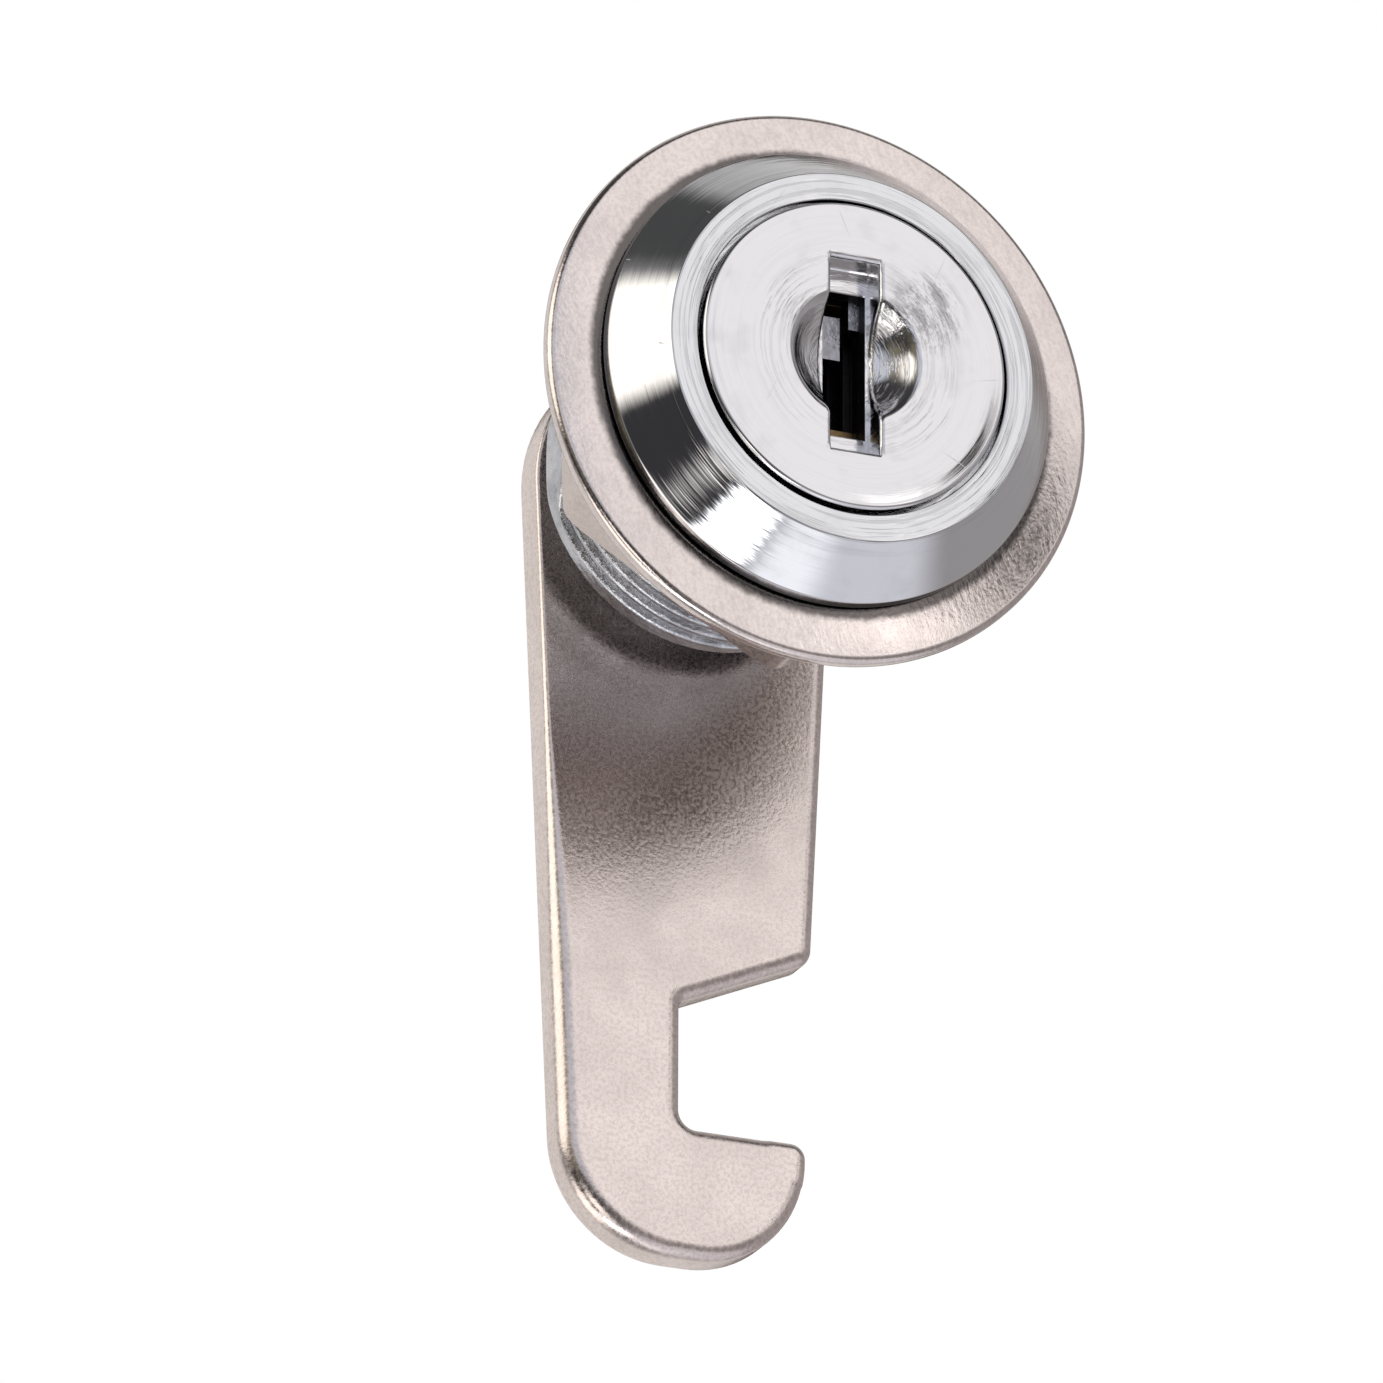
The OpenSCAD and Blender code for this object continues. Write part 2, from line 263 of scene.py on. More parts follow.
def rectangle(angle, half_x, half_z):
    """How far a rectangle's edge is from its middle, at each angle."""
    with np.errstate(divide="ignore"):
        return np.minimum(half_x / np.abs(np.cos(angle)), half_z / np.abs(np.sin(angle)))


def circle(count):
    """Evenly spaced angles all the way round."""
    return np.linspace(0, 2 * math.pi, count, endpoint=False)


# ---- meshes ----

def mesh_object(name, points, faces, body, sharp=SHARP):
    """A smooth-shaded piece from points in millimetres, riding on a CAD body."""
    mesh = bpy.data.meshes.new(name)
    mesh.from_pydata((np.asarray(points, float) * MM).tolist(), [], faces)
    return finish_mesh(name, mesh, body, sharp)


def finish_mesh(name, mesh, body, sharp=SHARP):
    """Cleans a mesh, shades it smooth up to the sharp angle and lets it ride on a body."""
    bm = bmesh.new()
    bm.from_mesh(mesh)
    bmesh.ops.remove_doubles(bm, verts=bm.verts, dist=1e-7)
    bmesh.ops.dissolve_degenerate(bm, edges=bm.edges, dist=1e-8)
    bmesh.ops.recalc_face_normals(bm, faces=bm.faces)
    bm.to_mesh(mesh)
    bm.free()
    mesh.polygons.foreach_set("use_smooth", [True] * len(mesh.polygons))
    mesh.set_sharp_from_angle(angle=sharp)
    piece = bpy.data.objects.new(name, mesh)
    bpy.context.scene.collection.objects.link(piece)
    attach(piece, body)
    return piece


def ring_faces(rows, count, looped):
    """Quads between rings of points, each ring closed; looped joins the last ring to the first."""
    index = np.arange(rows * count).reshape(rows, count)
    a = index if looped else index[:-1]
    b = np.roll(index, -1, 0) if looped else index[1:]
    quads = np.stack([a, b, np.roll(b, -1, 1), np.roll(a, -1, 1)], -1)
    return quads.reshape(-1, 4).tolist()


def ring_points(radius, along, angle):
    """Points at a radius and a place along Y, at each angle."""
    radius, along = np.broadcast_arrays(radius, along)
    return np.stack(
        [radius * np.cos(angle), along, radius * np.sin(angle)], -1
    ).reshape(-1, 3)


def skin(name, rows, angle, body, sharp=SHARP, looped=True):
    """A piece from rings of (radius, y) round the lock's axis, each a number or one per angle.

    The last ring joins the first; unless looped, the first and last are capped instead.
    """
    count = len(angle)
    radius, along = (
        np.array([np.broadcast_to(value, count) for value in values]) for values in zip(*rows)
    )
    faces = ring_faces(len(rows), count, looped)
    if not looped:
        last = (len(rows) - 1) * count
        faces += [tuple(range(count)), tuple(range(last, last + count))]
    return mesh_object(name, ring_points(radius, along, angle[None, :]), faces, body, sharp)


def softened(name, node, body, width, cut=None):
    """A copy of a CAD node with real bevels; cut keeps only what lies behind that place on Y."""
    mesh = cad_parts[node].data.copy()
    mesh.materials.clear()
    bm = bmesh.new()
    bm.from_mesh(mesh)
    bmesh.ops.remove_doubles(bm, verts=bm.verts, dist=2e-6)
    if cut is not None:
        bmesh.ops.bisect_plane(
            bm, geom=bm.verts[:] + bm.edges[:] + bm.faces[:], dist=1e-8,
            plane_co=(0, cut * MM, 0), plane_no=(0, 1, 0), clear_inner=True,
        )
        rim = [e for e in bm.edges if e.is_boundary]
        bmesh.ops.triangle_fill(bm, use_beauty=True, edges=rim)
    bmesh.ops.dissolve_limit(
        bm, angle_limit=math.radians(1), verts=bm.verts, edges=bm.edges
    )
    bmesh.ops.recalc_face_normals(bm, faces=bm.faces)
    crisp = [
        e for e in bm.edges
        if len(e.link_faces) == 2 and e.calc_face_angle(0) > math.radians(40)
    ]
    bmesh.ops.bevel(
        bm, geom=crisp, offset=width * MM, segments=2, profile=0.6,
        affect="EDGES", clamp_overlap=True,
    )
    bm.to_mesh(mesh)
    bm.free()
    return finish_mesh(name, mesh, body)


# ---- the housing: head, threaded barrel, channels and stop lugs in one closed skin ----

def barrel_radius(angle, y):
    """The barrel's outside: a right-hand thread that fades in and out at its ends."""
    phase = y / THREAD_PITCH + angle / (2 * math.pi)
    crest = np.abs((phase % 1) * 2 - 1)
    ridge = np.clip((crest - THREAD_ROOT) / THREAD_FLANK, 0, 1)
    ridge = ridge * ridge * (3 - 2 * ridge)
    fade = (np.clip((y - THREAD_START) / THREAD_RUN_IN, 0, 1)
            * np.clip((BAND_START + 0.1 - y) / THREAD_RUN_OUT, 0, 1))
    return BARREL_R - THREAD_DEPTH + THREAD_DEPTH * ridge * fade


def on_flats(angle, radius):
    """A radius cut down to the barrel's two flats."""
    flats = BARREL_FLAT / np.maximum(np.abs(np.cos(angle)), FLATS_LEAST)
    return smooth_min(radius, flats, FLAT_BLEND)


def bore_radius(angle):
    """The bore with its four wafer channels."""
    channels = np.maximum(
        rectangle(angle, CHANNEL_W, CHANNEL_REACH), rectangle(angle, CHANNEL_REACH, CHANNEL_W)
    )
    return np.maximum(BORE_R, channels)


def housing_piece():
    """One closed skin: round the head, along the barrel, over the lugs and back up the bore."""
    angle = circle(720)
    neck = HEAD_R - UNDERCUT_IN
    rows = spread(rounded([
        (SEAT_R, SEAT_Y, 0),
        (SEAT_R, HEAD_FRONT, BROKEN),
        (HEAD_FACE_R, HEAD_FRONT, HEAD_EDGE),
        (HEAD_R, HEAD_FRONT + HEAD_BEVEL, BEVEL_EDGE),
        (HEAD_R, COLLAR_FRONT - UNDERCUT, BROKEN),
        (neck, COLLAR_FRONT - UNDERCUT, CRISP),
        (neck, COLLAR_FRONT, CRISP),
        (BARREL_R + 0.3, COLLAR_FRONT, 0),
    ]), STEP)
    for y in np.linspace(COLLAR_FRONT, THREAD_START, 8)[1:-1]:
        rows.append((on_flats(angle, BARREL_R - 0.05), y))
    for y in np.arange(THREAD_START, BAND_START, THREAD_STEP):
        rows.append((on_flats(angle, barrel_radius(angle, y)), y))
    for radius, y in rounded([(BAND_R, BAND_START, 0), (BAND_R, BARREL_END, BARREL_EDGE),
                              (LUG_R[1] + 0.1, BARREL_END, 0)]):
        rows.append((on_flats(angle, radius), y))
    degrees = np.degrees(angle)
    raised = LUG_H * sum(
        ((degrees - start) % 360 < end - start).astype(float) for start, end in LUG_SPANS
    )
    inner, outer = LUG_R
    for radius, share in ((outer, 0), (outer, LUG_WALL), (outer - BROKEN, 1),
                          (inner + BROKEN, 1), (inner, LUG_WALL), (inner, 0)):
        rows.append((radius, BARREL_END + raised * share))
    rows += list(rounded([(inner - 0.05, BARREL_END, 0), (BORE_R, BARREL_END, BORE_EDGE),
                          (BORE_R, GROOVE[1], 0)]))
    rows += [(GROOVE_R, GROOVE[1]), (GROOVE_R, GROOVE[0]), (BORE_R, GROOVE[0]),
             (BORE_R, CHANNEL_END)]
    rows += [(bore_radius(angle), y) for y in (CHANNEL_END - HAIR, CHANNEL_MIDDLE, SEAT_Y)]
    return skin("housing_body", rows, angle, "housing")


def spread(outline, step):
    """The same outline with more points on its long straight stretches."""
    points = [outline[0]]
    for a, b in zip(outline[:-1], outline[1:]):
        count = max(1, math.ceil(np.linalg.norm(b - a) / step))
        points += [a + (b - a) * i / count for i in range(1, count + 1)]
    return points


# ---- the plug's face, with the dimple, the slot and its ledges ----

def plug_face_piece():
    """The face with its dimple, and the slot from its rolled lip down to its ledges."""
    angle = circle(1440) + math.radians(0.125)
    ball = (DIMPLE_R ** 2 + DIMPLE_DEPTH ** 2) / (2 * DIMPLE_DEPTH)

    def top(radius):
        """How deep the face is at each radius, without the slot."""
        bowl = np.sqrt(np.maximum(ball ** 2 - radius ** 2, 0)) - (ball - DIMPLE_DEPTH)
        fall = FACE_FALL * np.clip((radius - FACE_R + FALL_IN) / FALL_WIDTH, 0, 1) ** 2
        return smooth_max(fall, bowl, DIMPLE_BLEND)

    edge_y = FACE_Y + FACE_FALL
    face_r = FACE_R - FACE_ROUND - HAIR
    floor = FACE_Y + SLOT_DEPTH
    rows = list(rounded([(KEYWAY[1] + KEYWAY_WALL, FACE_BACK, 0), (FACE_R, FACE_BACK, BROKEN),
                         (FACE_R, edge_y, FACE_ROUND), (face_r, edge_y, 0)]))
    slot_edge = rectangle(angle, *SLOT)
    lip = rectangle(angle, SLOT[0] + SLOT_ROUND, SLOT[1] + SLOT_ROUND)
    knots = [
        face_r,
        FACE_R - FALL_IN,
        np.maximum(DIMPLE_R + DIMPLE_RIM, lip + 0.12),
        np.maximum(DIMPLE_R - DIMPLE_RIM, lip + 0.06),
        lip,
    ]
    for start, end, steps in zip(knots[:-1], knots[1:], FACE_RINGS):
        for i in range(1, steps + 1):
            radius = start + (end - start) * i / steps
            rows.append((radius, FACE_Y + top(radius)))
    for i in range(1, LIP_RINGS + 1):
        roll = QUARTER * i / LIP_RINGS
        radius = slot_edge + (lip - slot_edge) * (1 - math.sin(roll))
        drop = SLOT_ROUND * (1 - math.cos(roll))
        rows.append((radius, np.minimum(FACE_Y + top(radius) + drop, floor)))
    wall_top = np.minimum(FACE_Y + top(slot_edge) + SLOT_ROUND, floor - 0.02)
    keyhole = rectangle(angle, *KEYWAY)
    rows += [(slot_edge, wall_top + (floor - wall_top) * share) for share in (0.33, 0.66, 0.95)]
    rows += [(slot_edge + (keyhole - slot_edge) * share, floor) for share in (0.05, 0.5, 0.95)]
    rows += [(keyhole, floor + (FACE_BACK - floor) * share) for share in (0.05, 0.5, 1)]
    return skin("plug_face", rows, angle, "plug", math.radians(32))


# ---- the collar, the nut, the cam and its fastening ----

def collar_piece():
    """The dished ring: its front slopes back to a lip, and the lip's back edge is a wider round."""
    hole = BARREL_R + 0.2
    lip_front = COLLAR_FRONT + COLLAR_DISH
    skirt = COLLAR_R - COLLAR_SKIRT
    outline = rounded([
        (hole, COLLAR_FRONT, BROKEN),
        (HEAD_R, COLLAR_FRONT, COLLAR_BEND),
        (COLLAR_R, lip_front, COLLAR_EDGES[0]),
        (COLLAR_R, 0, COLLAR_EDGES[1]),
        (skirt, 0, BROKEN),
        (skirt, lip_front + COLLAR_T, BROKEN),
        (HEAD_R, COLLAR_FRONT + COLLAR_T, COLLAR_BEND),
        (hole, COLLAR_FRONT + COLLAR_T, BROKEN),
    ], closed=True)
    return skin("collar", outline, circle(480), "housing")


def nut_piece():
    """The hexagon nut, its corners cut by a cone at each face and its bore chamfered."""
    angle = circle(720)
    sector = (angle + math.pi / 6) % (math.pi / 3) - math.pi / 6
    corner = NUT_FLATS / math.cos(math.pi / 6) - NUT_CORNER
    hexagon = smooth_min(NUT_FLATS / np.cos(sector), corner, 0.15)
    front, back = NUT
    (front_out, front_slope), (back_out, back_slope) = NUT_CONES
    rows = []
    for y in np.linspace(front, back, 71):
        cone = NUT_FLATS + np.minimum(front_out + front_slope * (y - front),
                                      back_out + back_slope * (back - y))
        rows.append((smooth_min(hexagon, cone, 0.12), y))
    face = NUT_FLATS - 0.4
    bore = BARREL_R + 0.06
    chamfer = NUT_BORE_CHAMFER
    rows.append((face, back))
    rows += list(rounded([
        (face - 0.3, back, 0),
        (bore + chamfer, back, NUT_BORE_EDGE),
        (bore, back - chamfer, NUT_BORE_EDGE),
        (bore, front + chamfer, NUT_BORE_EDGE),
        (bore + chamfer, front, NUT_BORE_EDGE),
        (face, front, 0),
    ]))
    return skin("nut", rows, angle, "mounting_nut", math.radians(30))


def inset(outline, amount):
    """The same closed outline moved inwards, by one amount or one for each point.

    Its points run with the inside on their left.
    """
    ahead, behind = np.roll(outline, -1, 0), np.roll(outline, 1, 0)
    along = ahead - behind
    along /= np.linalg.norm(along, axis=1)[:, None]
    amount = np.broadcast_to(amount, len(outline))[:, None]
    return outline + amount * np.stack([-along[:, 1], along[:, 0]], -1)


def even(outline, step):
    """A closed outline with points about a step apart, its corners kept."""
    points = []
    for a, b in zip(outline, np.roll(outline, -1, 0)):
        count = max(1, math.ceil(np.linalg.norm(b - a) / step))
        points += [a + (b - a) * i / count for i in range(count)]
    return np.array(points)


def anticlockwise(outline):
    """A closed outline, turned round if need be so that its inside is on its left."""
    x, z = outline.T
    area = np.sum(x * np.roll(z, -1) - np.roll(x, -1) * z)
    return outline if area > 0 else outline[::-1]


def pressed_plate(name, outline, hole, span, edges, body):
    """A stamped plate: an outline with a hole, rounded along its front and back edges."""
    outline, hole = anticlockwise(outline), anticlockwise(hole)
    front, back = span
    front_round, back_round = edges
    rings = [(inset(outline, front_round + 0.1), front)]
    rolls = [QUARTER * i / PLATE_STEPS for i in range(PLATE_STEPS + 1)]
    for roll in rolls:
        rings.append((inset(outline, front_round * (1 - math.sin(roll))),
                      front + front_round * (1 - math.cos(roll))))
    for roll in reversed(rolls):
        rings.append((inset(outline, back_round * (1 - math.sin(roll))),
                      back - back_round * (1 - math.cos(roll))))
    rings.append((inset(outline, back_round + 0.1), back))
    edge = PLATE_HOLE_ROUND
    inner = [(inset(hole, -edge), back), (hole, back - edge),
             (hole, front + edge), (inset(hole, -edge), front)]
    bm = bmesh.new()

    def loop(points, along):
        along = np.broadcast_to(along, len(points))
        return [bm.verts.new((x * MM, y * MM, z * MM)) for (x, z), y in zip(points, along)]

    def bridge(loops):
        for a, b in zip(loops[:-1], loops[1:]):
            n = len(a)
            for i in range(n):
                bm.faces.new((a[i], a[(i + 1) % n], b[(i + 1) % n], b[i]))

    def cap(outer, inside):
        rim = []
        for verts in (outer, inside):
            rim += [bm.edges.get(pair) for pair in zip(verts, verts[1:] + verts[:1])]
        bmesh.ops.triangle_fill(bm, use_beauty=True, edges=rim)

    outer_loops = [loop(p, y) for p, y in rings]
    inner_loops = [loop(p, y) for p, y in inner]
    bridge(outer_loops)
    bridge(inner_loops)
    cap(outer_loops[0], inner_loops[-1])
    cap(outer_loops[-1], inner_loops[0])
    mesh = bpy.data.meshes.new(name)
    bm.to_mesh(mesh)
    bm.free()
    return finish_mesh(name, mesh, body, math.radians(30))


def tube(name, rings, body):
    """A piece from rings of points, one after another, with its two ends closed."""
    n, last = len(rings[0]), len(rings) - 1
    faces = [
        (i * n + j, (i + 1) * n + j, (i + 1) * n + (j + 1) % n, i * n + (j + 1) % n)
        for i in range(last) for j in range(n)
    ]
    faces += [tuple(range(n)), tuple(range(last * n, last * n + n))]
    return mesh_object(name, [point for ring in rings for point in ring], faces, body)


def tail_hole(gap):
    """The square hole with its corners turned to a circle, as the plug's tail needs."""
    angle = circle(240)
    radius = np.minimum(rectangle(angle, TAIL + gap, TAIL + gap), TAIL_ROUND + gap)
    return np.stack([radius * np.cos(angle), radius * np.sin(angle)], -1)


def cam_piece():
    """The hooked plate, with a front edge that is rolled wider round its lower left."""
    reach = -CAM_LOW + CAM_SHIFT[1]
    floor = -reach + HOOK_H
    shoulder = floor + CAM_NOTCH

    def side(z):
        return CAM_HALF + CAM_TAPER * z

    outline = rounded([
        (side(CAM_TOP), CAM_TOP, CAM_TOP),
        (-side(CAM_TOP), CAM_TOP, CAM_TOP),
        (-side(-reach), -reach, 5.9),
        (HOOK_TIP, -reach, 5.7),
        (HOOK_TIP, floor, 0.8),
        (NOTCH_END, floor, 0.9),
        (NOTCH_END, shoulder - 3, 0.4),
        (side(shoulder), shoulder, 1),
    ], math.radians(4), closed=True) + np.array(CAM_SHIFT)
    outline = anticlockwise(even(outline, STEP))
    x, z = outline.T
    left = np.interp(z, (-reach, *ROLL_HEIGHTS), ROLL_LEFT)
    right = np.where((x > 4.5) & (np.abs(z - floor) < 2), ROLL_TIP, ROLL_RIGHT)
    rolled = left + (right - left) * np.clip((x + 4) / 5, 0, 1)
    edges = (rolled, ROLL_BACK)
    return pressed_plate("cam_plate", outline, tail_hole(CAM_GAP), CAM, edges, "plug")


def washer_piece():
    """The flat washer, its front edges rounder than its back ones."""
    outline = rounded([(HOLE_R, WASHER[0], CRISP), (HOLE_R, WASHER[1], 0.12),
                       (WASHER_R, WASHER[1], 0.22), (WASHER_R, WASHER[0], BROKEN)], closed=True)
    return skin("flat_washer", outline, circle(240), "plug")


def split_washer_piece():
    """The spring washer, cut through and a little twisted at its cut."""
    inner, outer = SPLIT_R
    front, back = SPLIT
    thick = SPLIT_THICK * (back - front)
    section = rounded([(inner, 0, 0.08), (outer, 0, 0.12), (outer, thick, 0.12),
                       (inner, thick, 0.08)], closed=True)
    start, end = SPLIT_TURN
    rings = []
    for i in range(SPLIT_STEPS + 1):
        turn = start + (end - start) * i / SPLIT_STEPS
        rise = front + (back - front - thick) * i / SPLIT_STEPS
        rings.append([(r * math.cos(turn), rise + y, r * math.sin(turn)) for r, y in section])
    return tube("spring_washer", rings, "plug")


def screw_piece():
    """A pan-head cross-recess screw with a real thread."""
    angle = circle(360)
    under = SPLIT[1]
    tip, top = SCREW
    rows = [(0.02, tip), (SCREW_R - 0.7, tip), (SCREW_R - 0.5, tip + 0.12)]
    for y in np.arange(tip + 0.15, under - SCREW_NECK, THREAD_STEP):
        phase = y / SCREW_PITCH + angle / (2 * math.pi)
        crest = np.clip((np.abs((phase % 1) * 2 - 1) - 0.1) / 0.75, 0, 1)
        fade = min(1, (y - tip - 0.1) / 0.5)
        rows.append((SCREW_CREST - SCREW_DEPTH + SCREW_DEPTH * crest * fade, y))
    rows += list(rounded([
        (SCREW_CREST, under - SCREW_NECK, 0),
        (SCREW_CREST, under, BROKEN),
        (SCREW_HEAD_R, under, 0.15),
        (SCREW_HEAD_R, top, SCREW_CROWN),
        (2.6, top, 0),
    ]))
    x, z = np.cos(angle), np.sin(angle)
    for radius in np.arange(CROSS_START, 0, -0.05):
        across = np.minimum(np.abs(radius * x), np.abs(radius * z))
        arm = np.maximum(np.abs(radius * x), np.abs(radius * z))
        wall = np.minimum(CROSS_HALF - across, CROSS_REACH - arm) / CROSS_WALL
        centre = np.clip((CROSS_CENTRE - radius) / 0.25, 0, 1)
        cut = np.maximum(np.clip(wall + 0.5, 0, 1), centre)
        sink = CROSS_DEPTH - CROSS_RISE * np.clip(radius / CROSS_REACH, 0, 1) ** 2
        rows.append((radius, top - sink * cut))
    return skin("screw", rows, angle, "plug", looped=False)


def coil_piece(name, node, body, turns):
    """A smooth coil spring with closed ends in the space of its CAD node."""
    corner, far = (np.array(c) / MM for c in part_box(node))
    middle = (corner + far) / 2
    radius = (far[0] - corner[0]) / 2 - WIRE_R
    count = COIL_STEPS * turns
    rise = far[2] - corner[2] - 2 * WIRE_R
    rings = []
    for i in range(count + 1):
        lift = min(max((i / count - COIL_FLAT) / (1 - 2 * COIL_FLAT), 0), 1)
        a = 2 * math.pi * i / COIL_STEPS
        ring = []
        for j in range(COIL_SIDES):
            b = 2 * math.pi * j / COIL_SIDES
            r = radius + WIRE_R * math.cos(b)
            ring.append((middle[0] + r * math.cos(a), middle[1] + r * math.sin(a),
                         corner[2] + WIRE_R + rise * lift + WIRE_R * math.sin(b)))
        rings.append(ring)
    return tube(name, rings, body)


# ---- materials ----

# the way the collar's brushed lines run, as a turn from +X about Y
BRUSHED = math.radians(68)

# turning marks per millimetre: fine ones, coarse ones, and the plain ones of a band
FINE_MARKS = 5.5
COARSE_MARKS = 1.9
BAND_MARKS = 4.4
# chrome's scratches: the ways they run, and the noise's values where one starts and is full
SCRATCH_TURNS = (0.5, 2.2, 1.3, 2.9)
SCRATCH_SPAN = (0.865, 0.90)
# the share of the metal's colour that is left in its darker places
WORN_SHADE = 0.88
BAND_SHADE = 0.42
SCUFF_SHADE = 0.30
CAST_SHADE = 0.72
CLOUD_SHADE = 0.93
SPECK_SHADE = 0.40
# painted shade: how dark the painted ring of shade round a seated part is
PAINTED_CONTACT_SHADE = 0.10
DRAWN_SHADE = 0.82


class Nodes:
    """Short calls for making a node tree."""

    def __init__(self, tree):
        self.tree = tree

    def add(self, kind, inputs=None, **settings):
        """A node with its settings; an input is a value or the socket that feeds it."""
        node = self.tree.nodes.new(kind)
        for name, value in settings.items():
            setattr(node, name, value)
        for key, value in (inputs or {}).items():
            socket = node.inputs[key]
            if isinstance(value, bpy.types.NodeSocket):
                self.tree.links.new(value, socket)
            else:
                socket.default_value = value
        return node

    def math(self, operation, a, b):
        """One step of arithmetic."""
        return self.add("ShaderNodeMath", {0: a, 1: b}, operation=operation).outputs[0]

    def vector(self, operation, a, b=(0, 0, 0)):
        """One step of vector arithmetic; a length and a dot product come back as numbers."""
        node = self.add("ShaderNodeVectorMath", {0: a}, operation=operation)
        if isinstance(b, bpy.types.NodeSocket):
            self.tree.links.new(b, node.inputs[1])
        elif operation == "SCALE":
            node.inputs["Scale"].default_value = b
        else:
            node.inputs[1].default_value = b
        return node.outputs["Value" if operation in ("LENGTH", "DOT_PRODUCT") else "Vector"]

    def span(self, value, low_in, high_in, low_out, high_out, kind="LINEAR"):
        """A value carried from one span to another and held at its ends."""
        return self.add(
            "ShaderNodeMapRange",
            {0: value, 1: low_in, 2: high_in, 3: low_out, 4: high_out},
            interpolation_type=kind,
        ).outputs[0]

    def noise(self, vector, scale, detail=2.0, roughness=0.5):
        """Soft noise, mostly between 0.3 and 0.7."""
        return self.add(
            "ShaderNodeTexNoise",
            {"Vector": vector, "Scale": scale, "Detail": detail, "Roughness": roughness},
        ).outputs["Fac"]

    def blend(self, factor, a, b):
        """The colour a where the factor is 0 and b where it is 1."""
        node = self.add("ShaderNodeMix", data_type="RGBA")
        for key, value in ((0, factor), (6, a), (7, b)):
            if isinstance(value, bpy.types.NodeSocket):
                self.tree.links.new(value, node.inputs[key])
            else:
                node.inputs[key].default_value = value
        return node.outputs[2]

    def bump(self, height, distance, normal=None):
        """A bump of a height in millimetres, over the bumps in normal."""
        node = self.add("ShaderNodeBump", {"Height": height, "Distance": distance * MM})
        if normal:
            self.tree.links.new(normal, node.inputs["Normal"])
        return node.outputs["Normal"]


def metal(name, colour, roughness):
    """A metal material, its node helper and its place in millimetres."""
    material = bpy.data.materials.new(name)
    material.use_nodes = True
    nodes = Nodes(material.node_tree)
    shader = material.node_tree.nodes["Principled BSDF"]
    shader.inputs["Metallic"].default_value = 1.0
    shader.inputs["Base Color"].default_value = (*colour, 1)
    shader.inputs["Roughness"].default_value = roughness
    place = nodes.vector("SCALE", nodes.add("ShaderNodeTexCoord").outputs["Object"], 1 / MM)
    return material, nodes, shader, place


def rgba(colour, share=1.0):
    """A colour as a node takes it, darkened to a share of itself."""
    return (*[c * share for c in colour], 1)


def wire(nodes, shader, colour, roughness, normal):
    """Feeds a shader its colour, roughness and normal."""
    for name, socket in (("Base Color", colour), ("Roughness", roughness), ("Normal", normal)):
        nodes.tree.links.new(socket, shader.inputs[name])


def round_axis(nodes, place):
    """A place across the lock's axis, how far it is from the axis, and how far along it."""
    parts = nodes.add("ShaderNodeSeparateXYZ", {0: place}).outputs
    flat = nodes.add("ShaderNodeCombineXYZ", {0: parts[0], 2: parts[2]}).outputs[0]
    return flat, nodes.vector("LENGTH", flat), parts[1]


def ring_place(nodes, place, across, along, round_about):
    """A place that changes fast across turning marks and slowly along them."""
    flat, radius, y = round_axis(nodes, place)
    way = nodes.vector("SCALE", nodes.vector("NORMALIZE", flat), round_about)
    step = nodes.math("ADD", nodes.math("MULTIPLY", radius, across),
                      nodes.math("MULTIPLY", y, along))
    return nodes.vector("ADD", way, nodes.add("ShaderNodeCombineXYZ", {1: step}).outputs[0])


def stretched(nodes, place, turn, along, across):
    """A place that changes slowly along a line in the XZ plane and fast across it."""
    return nodes.add("ShaderNodeMapping", {
        "Vector": place, "Rotation": (0.0, turn, 0.0), "Scale": (1 / along, 1.0, 1 / across),
    }, vector_type="TEXTURE").outputs[0]


